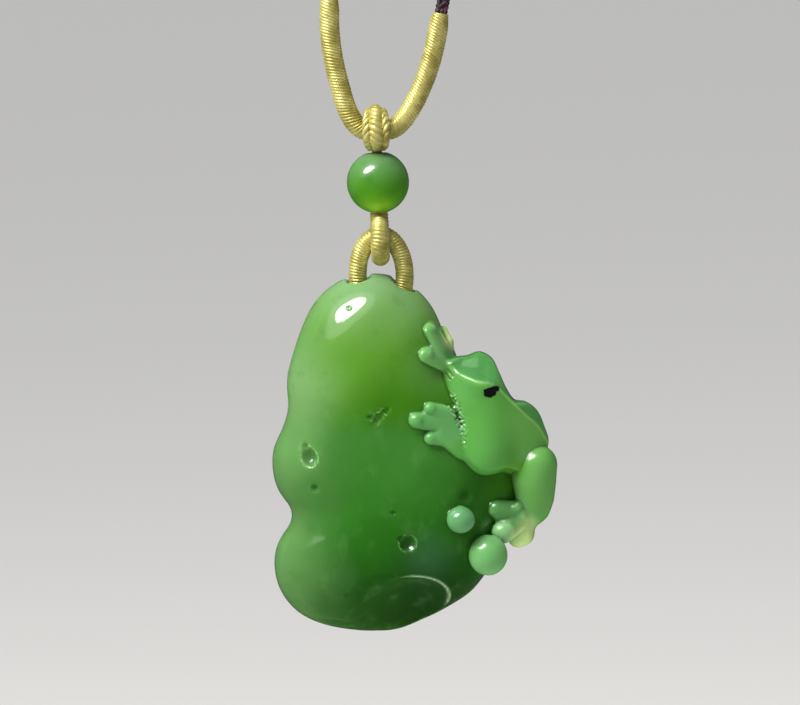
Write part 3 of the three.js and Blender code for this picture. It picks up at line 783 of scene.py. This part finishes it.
class Nodes:
    """Short ways to add and join shader nodes. Places are in millimetres."""

    def __init__(self, skin):
        self.tree = skin.node_tree
        self.shader = self.tree.nodes["Principled BSDF"]
        coordinate = self.add("TexCoord")
        scale = self.add("VectorMath", operation="SCALE")
        self.fill(scale.inputs, Scale=1 / MM)
        self.join(coordinate.outputs["Object"], scale.inputs[0])
        self.place = scale.outputs[0]

    def join(self, source, target):
        self.tree.links.new(source, target)

    def add(self, kind, **settings):
        node = self.tree.nodes.new("ShaderNode" + kind)
        for name, value in settings.items():
            setattr(node, name, value)
        return node

    def fill(self, sockets, **values):
        """Gives sockets, by name, a number, a colour or another node's output."""
        for name, value in values.items():
            self.fill_one(sockets[name.replace("_", " ")], value)

    def fill_one(self, socket, value):
        if isinstance(value, bpy.types.NodeSocket):
            self.join(value, socket)
        else:
            socket.default_value = value

    def paint(self, **values):
        """Fills the skin's own sockets."""
        self.fill(self.shader.inputs, **values)

    def vector(self, operation, value, other):
        node = self.add("VectorMath", operation=operation)
        self.fill_one(node.inputs[0], value)
        self.fill_one(node.inputs[1], other)
        return node.outputs["Vector"]

    def noise(self, scale, detail=3.0, roughness=0.5, stretch=(1, 1, 1)):
        node = self.add("TexNoise")
        place = self.vector("MULTIPLY", self.place, stretch)
        self.fill(node.inputs, Scale=scale, Detail=detail, Roughness=roughness, Vector=place)
        return node.outputs["Fac"]

    def ramp(self, value, low, high, to_low=0.0, to_high=1.0, kind="SMOOTHSTEP"):
        node = self.add("MapRange", interpolation_type=kind)
        self.fill(node.inputs, Value=value, From_Min=low, From_Max=high, To_Min=to_low, To_Max=to_high)
        return node.outputs["Result"]

    def math(self, operation, a, b):
        node = self.add("Math", operation=operation)
        self.fill_one(node.inputs[0], a)
        self.fill_one(node.inputs[1], b)
        return node.outputs[0]

    def times(self, first, *others):
        for other in others:
            first = self.math("MULTIPLY", first, other)
        return first

    def mix(self, share, a, b):
        node = self.add("Mix", data_type="RGBA")
        self.fill(node.inputs, Factor=share, A=a, B=b)
        return node.outputs["Result"]

    def tint(self, body, where, share, shade):
        """A share of a screen colour over the body, where there is any."""
        return self.mix(self.times(where, share), body, colour(*shade))

    def near(self, centre, reach, soft, squeeze=(1, 1, 1)):
        """1 near a place, falling to 0 past its reach."""
        off = self.vector("MULTIPLY", self.vector("SUBTRACT", self.place, centre), squeeze)
        size = self.add("VectorMath", operation="LENGTH")
        self.join(off, size.inputs[0])
        return self.ramp(size.outputs["Value"], reach - soft, reach + soft, 1.0, 0.0)

    def bands(self, value, low, high, stops):
        """Colours that follow one another as a value goes from low to high. The first two are the ends."""
        node = self.add("ValToRGB")
        places = node.color_ramp.elements
        for i, (at, shade) in enumerate(stops):
            share = (at - low) / (high - low)
            stop = places[i] if i < 2 else places.new(share)
            stop.position = share
            stop.color = colour(*shade)
        self.join(self.ramp(value, low, high, kind="LINEAR"), node.inputs["Fac"])
        return node.outputs["Color"]

    def stored(self, name):
        return self.add("Attribute", attribute_name=name).outputs["Fac"]

    def axis(self, letter):
        split = self.add("SeparateXYZ")
        self.join(self.place, split.inputs[0])
        return split.outputs[letter]

    def bump(self, height, strength, distance):
        node = self.add("Bump")
        self.fill(node.inputs, Strength=strength, Distance=distance * MM, Height=height)
        self.paint(Normal=node.outputs["Normal"])


def colour(red, green, blue):
    """A screen colour, 0 to 255, as the linear values that a shader takes."""
    linear = [((c / 255 + 0.055) / 1.055) ** 2.4 if c > 10 else c / 255 / 12.92 for c in (red, green, blue)]
    return (*linear, 1)


def jade_base(name, depth):
    """Polished nephrite: light goes a little way in, more of it green than red or blue."""
    skin = new_material(name)
    nodes = Nodes(skin)
    nodes.paint(IOR=1.61, Subsurface_Weight=1.0, Subsurface_Scale=depth * MM)
    nodes.paint(Subsurface_Radius=(0.45, 1.0, 0.25))
    return skin, nodes


# The stone's colour, with painted shade towards the bottom, from its bottom to its top, by height: the two
# ends, then the bands between them.
STONE_BOTTOM, STONE_TOP = -92, -50
STONE_BANDS_WITH_PAINTED_SHADE = [
    (-92, (44, 88, 24)), (-50, (126, 166, 116)), (-86, (30, 90, 14)),
    (-79, (40, 110, 20)), (-75, (54, 122, 36)), (-68.5, (68, 134, 50)),
    (-64.5, (74, 140, 24)), (-60, (94, 152, 46)), (-55.5, (112, 160, 82)),
]
# Clouds in the stone, some dark ones painted shade and some pale ones painted light: place, reach, softness,
# share and colour.
CLOUDS_PAINTED_SHADE_AND_LIGHT = [
    ((-0.4, -6, -64.4), 1.5, 3.2, 0.7, (52, 116, 4)),
    ((4.2, -6, -88), 4.5, 4, 0.7, (16, 54, 8)),
    ((4.2, -6, -82.2), 2.2, 2.2, 0.3, (84, 132, 100)),
    ((9.8, -5, -75), 2.5, 2.5, 0.7, (34, 94, 4)),
    ((5.4, -5, -61), 2.4, 2, 0.5, (96, 150, 84)),
    ((-9.6, -3, -70.5), 2, 2, 0.4, (112, 160, 96)),
    ((-4.5, -5, -62), 2, 4, 0.35, (112, 160, 52)),
    ((-9.2, -3, -63), 3.5, 3.5, 0.6, (134, 174, 116)),
    ((13, -3, -75), 2, 1.6, 0.8, (58, 124, 10)),
]
# The carver kept the stone's paler skin for the frog and the dewdrops: place, reach, softness, squeeze,
# share and colour.
FROG_ZONES = [
    ((12.2, -4.5, -67.5), 7.4, 1.2, (1.15, 0.5, 0.88), 0.95, (96, 164, 76)),
    ((8.6, -6, -63.4), 1.6, 1.6, (1, 0.4, 1), 0.5, (116, 182, 106)),
    ((15.6, -4, -68.6), 2.6, 1.6, (1.2, 0.4, 1), 0.5, (118, 176, 92)),
    ((10.6, -5, -71.2), 2.2, 1.4, (1, 0.4, 1), 0.5, (98, 166, 86)),
    ((4.8, -5, -67.5), 3.4, 0.8, (0.9, 0.3, 1), 0.9, (106, 168, 102)),
    ((5.2, -4, -59.0), 2.8, 0.7, (1, 0.4, 1), 0.9, (118, 174, 108)),
    ((16.4, -2, -75), 4.3, 0.8, (1.3, 0.5, 0.95), 0.95, (112, 170, 92)),
    ((14.2, -3, -72.9), 1.3, 0.9, (1, 0.4, 1), 0.8, (92, 154, 38)),
    ((12.9, -3, -78.3), 2.4, 0.7, (0.8, 0.4, 1.2), 0.8, (104, 160, 98)),
    ((12.6, -4.4, -80.25), 1.3, 0.25, (1, 0.4, 1), 0.85, (146, 194, 138)),
    ((15.4, -2.5, -79.7), 1.2, 0.8, (1, 0.4, 1), 0.8, (188, 218, 146)),
    ((14.6, -1.8, -81.2), 1.5, 0.7, (1, 0.4, 1), 0.9, (212, 236, 166)),
    ((7, -0.9, -58.4), 1.0, 0.5, (1, 0.4, 0.7), 0.9, (200, 218, 150)),
    ((7.85, -6, -78.3), 1.75, 0.2, (1, 0.4, 1), 0.9, (110, 166, 116)),
    ((10.8, -5, -82.6), 2.4, 0.2, (1, 0.4, 1), 0.9, (124, 184, 118)),
]


def stone_colours(nodes):
    """Bands from top to bottom with painted shade low down, paler on the left as painted light, with clouds,
    some of them painted shade and light, wisps and veins.
    """
    drift = nodes.times(nodes.math("SUBTRACT", nodes.noise(0.16), 0.5), 6.0)
    height = nodes.math("ADD", nodes.axis("Z"), drift)
    body = nodes.bands(height, STONE_BOTTOM, STONE_TOP, STONE_BANDS_WITH_PAINTED_SHADE)
    # Painted light: paler on the left, the side the key light falls on.
    left = nodes.ramp(nodes.math("ADD", nodes.axis("X"), drift), -3, -13)
    body = nodes.tint(body, left, 0.9, (98, 144, 82))
    for place, reach, soft, share, shade in CLOUDS_PAINTED_SHADE_AND_LIGHT:
        near = nodes.near(place, reach, soft, (1, 0.3, 1))
        body = nodes.tint(body, near, share, shade)
    wisps = nodes.ramp(nodes.noise(0.45, 5.0, 0.6, (1, 1, 0.6)), 0.5, 0.8)
    body = nodes.tint(body, wisps, 0.16, (128, 178, 104))
    veins = nodes.ramp(nodes.noise(0.3, 4.0, 0.6), 0.54, 0.74)
    return nodes.tint(body, veins, 0.2, (40, 100, 10))


def frog_colours(nodes, body):
    """The frog's paler zones, its forehead painted darker as shade, and a painted highlight as a light line
    along its back.
    """
    raised = nodes.ramp(nodes.stored("proud"), 0.05, 0.5)
    for place, reach, soft, squeeze, share, shade in FROG_ZONES:
        near = nodes.times(nodes.near(place, reach, soft, squeeze), raised)
        body = nodes.tint(body, near, share, shade)
    head = nodes.times(raised, nodes.near((12, -3, -66), 7.5, 0.5, (1, 0.4, 0.8)))
    fold = nodes.stored("fold")
    # Painted shade: the forehead, past the fold, darker and bluer than the face below it.
    forehead_painted_shade = nodes.times(nodes.ramp(fold, -0.1, 0.35), head, nodes.ramp(nodes.axis("Y"), -1.5, -4.0))
    body = nodes.tint(body, forehead_painted_shade, 0.7, (72, 136, 78))
    # Painted highlight: a pale line along the fold on the back, past the eye.
    line = nodes.times(nodes.ramp(fold, -0.22, -0.02), nodes.ramp(fold, 0.2, 0.0), head)
    line = nodes.times(line, nodes.ramp(nodes.axis("X"), 11.5, 12.5))
    return nodes.tint(body, line, 0.5, (166, 200, 120))


def painted_edge_light_and_crease_shade(nodes, body):
    """Painted light and shade: sharp edges paler, as light showing through thin edges, the scoop's rim
    painted pale, and creases painted deeper green as shade.
    """
    # Painted light: sharp edges paler, as if light shone through them.
    thin = nodes.ramp(nodes.stored("edge"), 1.5, 7.0)
    body = nodes.tint(body, thin, 0.4, (190, 218, 172))
    # Painted light: the scoop's rim pale.
    body = nodes.tint(body, nodes.stored("rim"), 0.7, (200, 224, 188))
    # Painted shade: creases deeper green.
    painted_crease_shade = nodes.ramp(nodes.stored("edge"), -1.0, -4.5)
    return nodes.tint(body, painted_crease_shade, 0.4, (30, 84, 12))


def eye_spot(nodes):
    """A ragged dark spot, 1 inside it: the frog's eye."""
    ragged = nodes.times(nodes.noise(4.5, 4.0, 0.75), 1.2)
    ball = nodes.near((11.55, -6, -64.0), 0.66, 0.4, (0.9, 0.3, 1.1))
    corner = nodes.near((12.15, -6, -63.65), 0.5, 0.35, (1, 0.3, 1.3))
    spot = nodes.math("MAXIMUM", ball, corner)
    return nodes.ramp(nodes.math("ADD", spot, ragged), 1.02, 1.12)


def pendant_jade():
    skin, nodes = jade_base("pendant_jade", 1.2)
    body = painted_edge_light_and_crease_shade(nodes, frog_colours(nodes, stone_colours(nodes)))
    eye = eye_spot(nodes)
    polish = nodes.ramp(nodes.noise(1.4, 4.0, 0.6), 0.3, 0.7, 0.06, 0.11)
    roughness = nodes.math("ADD", polish, nodes.times(eye, 0.2))
    nodes.paint(Base_Color=nodes.mix(eye, body, colour(10, 12, 10)), Roughness=roughness)
    nodes.bump(nodes.noise(0.9, 4.0, 0.55), 0.25, 0.02)
    return skin


def bead_jade():
    skin, nodes = jade_base("bead_jade", 1.6)
    # Painted light: paler and greyer towards the top, where the light falls.
    top_painted_light = nodes.ramp(nodes.axis("Z"), -41.5, -36.8)
    body = nodes.mix(top_painted_light, colour(76, 140, 28), colour(104, 146, 98))
    # Painted light: a glow low in the bead, as light coming through it.
    bottom_painted_glow = nodes.near((-0.1, -2.2, -43.4), 1.5, 1.5)
    body = nodes.tint(body, bottom_painted_glow, 0.85, (128, 186, 34))
    left = nodes.near((-3.2, -0.8, -40.4), 1.2, 1.6)
    body = nodes.tint(body, left, 0.6, (86, 128, 66))
    cloud = nodes.ramp(nodes.noise(0.5, 4.0), 0.45, 0.7)
    body = nodes.tint(body, cloud, 0.3, (40, 108, 22))
    nodes.paint(Base_Color=body, Roughness=nodes.ramp(nodes.noise(2.0), 0.3, 0.7, 0.05, 0.1))
    return skin


def thread(name, light, dark, roughness, sheen, gloss=0.0, fleck=None):
    """Waxed or silky thread: fine fibres, uneven dye and a soft sheen."""
    skin = new_material(name)
    nodes = Nodes(skin)
    dye = nodes.noise(0.5, 2.0, 0.6)
    fibre = nodes.noise(9.0, 3.0, 0.7, (1, 1, 2.5))
    body = nodes.mix(nodes.ramp(dye, 0.32, 0.7), light, dark)
    body = nodes.mix(nodes.times(nodes.ramp(fibre, 0.5, 0.75), 0.3), body, dark)
    if fleck is not None:
        body = nodes.mix(nodes.ramp(nodes.noise(2.6, 2.0, 0.5), 0.56, 0.62), body, fleck)
    rough = nodes.ramp(fibre, 0.2, 0.8, roughness - 0.08, roughness + 0.1)
    nodes.paint(Base_Color=body, Metallic=gloss, Sheen_Weight=sheen, Sheen_Roughness=0.4, Roughness=rough)
    nodes.bump(fibre, 0.35, 0.03)
    return skin


# The pieces
def neck_cords(skin, bead_skin):
    """The two strands, each with its line, the place where it leaves the sleeve, and its bead and knot."""
    made = {}
    for side, route in (("left", STRAND_LEFT_ROUTE), ("right", STRAND_RIGHT_ROUTE)):
        line = curve_through(route, 0.16)
        parts = braided(line, CORD_DIAMETER, 0.26, 4.0)
        cord = make_piece(f"neck_cord_{side}", parts, "necklace", skin, [f"strand_{side}"])
        x, y, z = route[-1]
        bead = bored_ball(TAIL_BEAD_DIAMETER, CORD_DIAMETER + 0.3, (x, y, z + TAIL_BEAD_RISE), 48, 24, 0.1)
        bead = make_piece(
            f"slide_bead_{side}", [bead], "necklace", bead_skin, [f"tail_bead_{side}"],
        )
        knot = make_piece(
            f"stopper_knot_{side}", stopper_knot((x, y, z - TAIL_KNOT_DROP)), "necklace", skin,
            [f"tail_knot_{side}"],
        )
        made[side] = (cord, line, route[0], [bead, knot])
    return made


def stopper_knot(centre):
    """A round button knot, woven from the cord's end."""
    turns = np.linspace(0, TURN, 160)
    wide = 0.72 + 0.3 * np.cos(4 * turns)
    line = np.stack([wide * np.cos(3 * turns), wide * np.sin(3 * turns), 0.62 * np.sin(4 * turns)], axis=1)
    strand = 0.42
    fit = (TAIL_KNOT_DIAMETER / 2 - strand) / np.abs(line).max()
    core = tube(np.array([(0, 0, -0.7), (0, 0, -0.35), (0, 0, 0.35), (0, 0, 1.5)]) + centre, 0.55, 12)
    return [tube(line * (fit, fit, fit * 1.25) + centre, strand, 10), core]


def sliding_knot(skin):
    """A row of square knots that the two strands slide through."""
    parts = []
    count = 9
    for i in range(count):
        x = -3.6 + 7.2 * i / (count - 1)
        lean = 0.26 * (1 if i % 2 else -1)
        turns = np.linspace(0, TURN, 49)
        ring = np.stack([
            x + lean * np.sin(turns), 1.86 * np.cos(turns), CLOSURE_HEIGHT + 0.98 * np.sin(turns),
        ], axis=1)
        parts.append(tube(ring, 0.37 + 0.02 * math.sin(5.0 * i), 12))
    for side in (-1, 1):
        edge = np.stack([
            np.linspace(-3.7, 3.7, 120), np.full(120, side * 1.82), np.full(120, CLOSURE_HEIGHT),
        ], axis=1)
        parts += twisted(edge, 2, 0.24, 0.2, 1.65, 8)
    return make_piece("sliding_knot", parts, "necklace", skin, ["closure_knot"])


def sleeve_thread(skin):
    line = curve_through(planar(SLEEVE_ROUTE), 0.042)
    start, end = line[0] - line[1], line[-1] - line[-2]
    lip = np.arange(8, 0, -1)[:, None]
    line = np.vstack([line[0] + start * lip, line, line[-1] + end * lip[::-1]])
    share = np.linspace(0, 1, len(line))
    narrow = 1 - 0.2 * np.clip(1 - np.minimum(share, 1 - share) / 0.045, 0, 1) ** 1.3
    winding = wound(line, SLEEVE_DIAMETER / 2, 0.34, 0.15, 44, narrow, starts=6)
    return make_piece("sleeve_thread", [winding], "necklace", skin, ["sleeve_wrap"])


def collar(low, high, low_radius, high_radius, pitch, count=60):
    """A short winding round the stem."""
    line = np.stack([np.full(count, LINK_X), np.zeros(count), np.linspace(high, low, count)], axis=1)
    return wound(line, 1.0, pitch, 0.13, 36, np.linspace(high_radius, low_radius, count))


def bail_pieces(skin):
    line = loop_line(LINK_X, BAIL_BOTTOM, BAIL_TOP, BAIL_HALF_DEPTH, NECK_GAP, 0.05)
    taper = neck_taper(len(line), 0.7, 0.16)
    row = wound(line, BAIL_ROW_DIAMETER / 2 + 0.12, 0.52, 0.2, 40, taper, starts=3)
    neck = collar(-37.0, -35.9, 1.05, 1.25, 0.36)
    make_piece("bail_winding", [row, neck], "bail", skin, ["bail_wrap"])
    middle, half = (BAIL_BOTTOM + BRAID_TOP) / 2, (BRAID_TOP - BAIL_BOTTOM) / 2
    for name, side in (("left", -1), ("right", 1)):
        edge = loop_line(LINK_X, BAIL_BOTTOM + 0.1, BRAID_TOP, BAIL_HALF_DEPTH, 0.2, 0.06)
        edge[:, 0] += side * (1.08 - 0.3 * ((edge[:, 2] - middle) / half) ** 2)
        parts = twisted(edge, 3, 0.28, 0.25, 2.3, 12, 0.8 * side)
        make_piece(f"bail_plait_{name}", parts, "bail", skin, [f"bail_braid_{name}"])


def ring_pieces(skin):
    line = loop_line(LINK_X, UPPER_RING_TOP, UPPER_RING_BOTTOM, UPPER_RING_HALF_DEPTH, NECK_GAP, 0.04)
    winding = wound(line, RING_TUBE / 2, 0.32, 0.15, 40, neck_taper(len(line), 0.62, 0.16), starts=2)
    neck = collar(-45.6, -43.75, 1.1, 1.0, 0.36)
    make_piece("upper_ring_thread", [winding, neck], "bail", skin, ["upper_ring_wrap"])
    line = ring_line(0.05, TURN - 0.05, 0.04)
    winding = wound(line, RING_TUBE / 2, 0.32, 0.15, 40, starts=2)
    make_piece("lower_ring_thread", [winding], "lower_ring", skin, ["lower_ring_wrap"])


def refine(piece, wanted):
    """Splits the faces round the wanted points in four."""
    made = bmesh.new()
    made.from_mesh(piece.data)
    made.verts.ensure_lookup_table()
    chosen = [face for face in made.faces if any(wanted[corner.index] for corner in face.verts)]
    edges = {edge for face in chosen for edge in face.edges}
    bmesh.ops.subdivide_edges(made, edges=list(edges), cuts=1, use_grid_fill=True)
    made.to_mesh(piece.data)
    made.free()


def carved_stone(skin):
    field, frog_field, marks = stone_field()
    low, high = (np.array(corner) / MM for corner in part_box("jade_carving"))
    margin = 1.2
    values = sampled(field, low - margin, high + margin, CELL)
    points, faces = surface_net(values, low - margin, CELL)
    both_ways = np.vstack([faces[:, [i, (i + 1) % 4]] for i in range(4)])
    points = spread_out(points, both_ways, field, CELL)
    stone = make_piece("carved_jade", [(points, faces.tolist())], "pendant", skin, ["jade_carving"])
    refine(stone, frog_field(points) < 0.5)
    mesh = stone.data
    fine = np.empty(len(mesh.vertices) * 3)
    mesh.vertices.foreach_get("co", fine)
    edges = np.empty(len(mesh.edges) * 2, int)
    mesh.edges.foreach_get("vertices", edges)
    edges = edges.reshape(-1, 2)
    both_ways = np.vstack([edges, edges[:, ::-1]])
    fine = spread_out(fine.reshape(-1, 3) / MM, both_ways, field, CELL / 2)
    mesh.vertices.foreach_set("co", (fine * MM).ravel())
    mesh.update()
    store(mesh, "edge", sharpness(field, fine))
    for name, mark in marks.items():
        store(mesh, name, mark(fine))
    return stone


def store(mesh, name, values):
    """Keeps a number for each point, which the material reads."""
    mesh.attributes.new(name, "FLOAT", "POINT").data.foreach_set("value", values.astype(np.float32))


def sharpness(field, points, step=0.22):
    """How sharply the surface turns, in turns per millimetre: above zero on edges, below in creases."""
    around = sum(in_chunks(field, points + way * step * axis) for axis in np.eye(3) for way in (1, -1))
    return (around - 6 * in_chunks(field, points)) / step ** 2


stand_camera()
lay_floor()
light_studio()
bpy.context.scene.view_settings.view_transform = "Standard"

gold = thread("gold_thread", colour(226, 216, 132), colour(176, 164, 80), 0.34, 0.1, 0.42)
core = thread("core_thread", colour(150, 142, 70), colour(112, 104, 46), 0.6, 0.2)
dark = thread("dark_cord", colour(44, 20, 34), colour(20, 10, 18), 0.55, 0.3, 0.0, colour(120, 62, 92))
bead_skin = bead_jade()

cords = neck_cords(dark, bead_skin)
knot = sliding_knot(dark)

sleeve_thread(gold)
bail_pieces(gold)
ring_pieces(gold)
make_piece(
    "jade_bead_polished", [bored_ball(BEAD_DIAMETER, BEAD_BORE, (LINK_X, 0, BEAD_HEIGHT), 96, 56)],
    "bead", bead_skin, ["jade_bead"],
)
carved_stone(pendant_jade())
for node, skin in (("sleeve_core", dark), ("link_core", core), ("lower_ring_core", core)):
    for material_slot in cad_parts[node].material_slots:
        material_slot.material = skin
